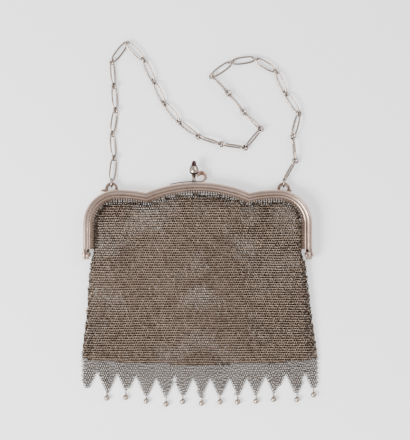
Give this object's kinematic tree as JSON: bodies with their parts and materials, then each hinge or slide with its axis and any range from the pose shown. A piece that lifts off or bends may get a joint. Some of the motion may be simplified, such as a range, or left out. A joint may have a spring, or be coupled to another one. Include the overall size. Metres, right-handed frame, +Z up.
{
  "type": "metal mesh purse",
  "caption": "Flat evening purse of fine metal ring mesh on a bow-shaped hinged frame, with a chain, a stone-tipped clasp and a pointed fringe with ball drops.",
  "frame": {"origin": "middle of the footprint of the purse and its chain, on the surface they lie on", "axes": "+Z up from the surface it lies on, +Y from the fringe towards the frame and the chain, +X to the right seen from above"},
  "size_m": [0.1554, 0.2372, 0.0096],
  "materials": {
    "frame_silver": "worn silver with dark tarnish in the grooves",
    "mesh_silver": "dull silver ring mesh, tarnished between the rings",
    "chain_silver": "bright worn silver wire",
    "drop_silver": "bright silver balls with a soft tarnish",
    "stone": "polished dark red stone"
  },
  "bodies": {
    "root": {"frame_front": "frame_silver", "frame_back": "frame_silver", "hinge_pin_left": "frame_silver", "hinge_pin_right": "frame_silver", "clasp_knob": "frame_silver", "clasp_stone": "stone", "clasp_hook": "frame_silver", "mesh_pouch": "mesh_silver", "mesh_fringe": "mesh_silver", "drop_02": "drop_silver", "drop_03": "drop_silver", "drop_04": "drop_silver", "drop_05": "drop_silver", "drop_06": "drop_silver", "drop_07": "drop_silver", "drop_08": "drop_silver", "drop_09": "drop_silver", "drop_10": "drop_silver", "drop_11": "drop_silver", "drop_12": "drop_silver", "drop_13": "drop_silver", "chain": "chain_silver"}
  },
  "joints": []
}
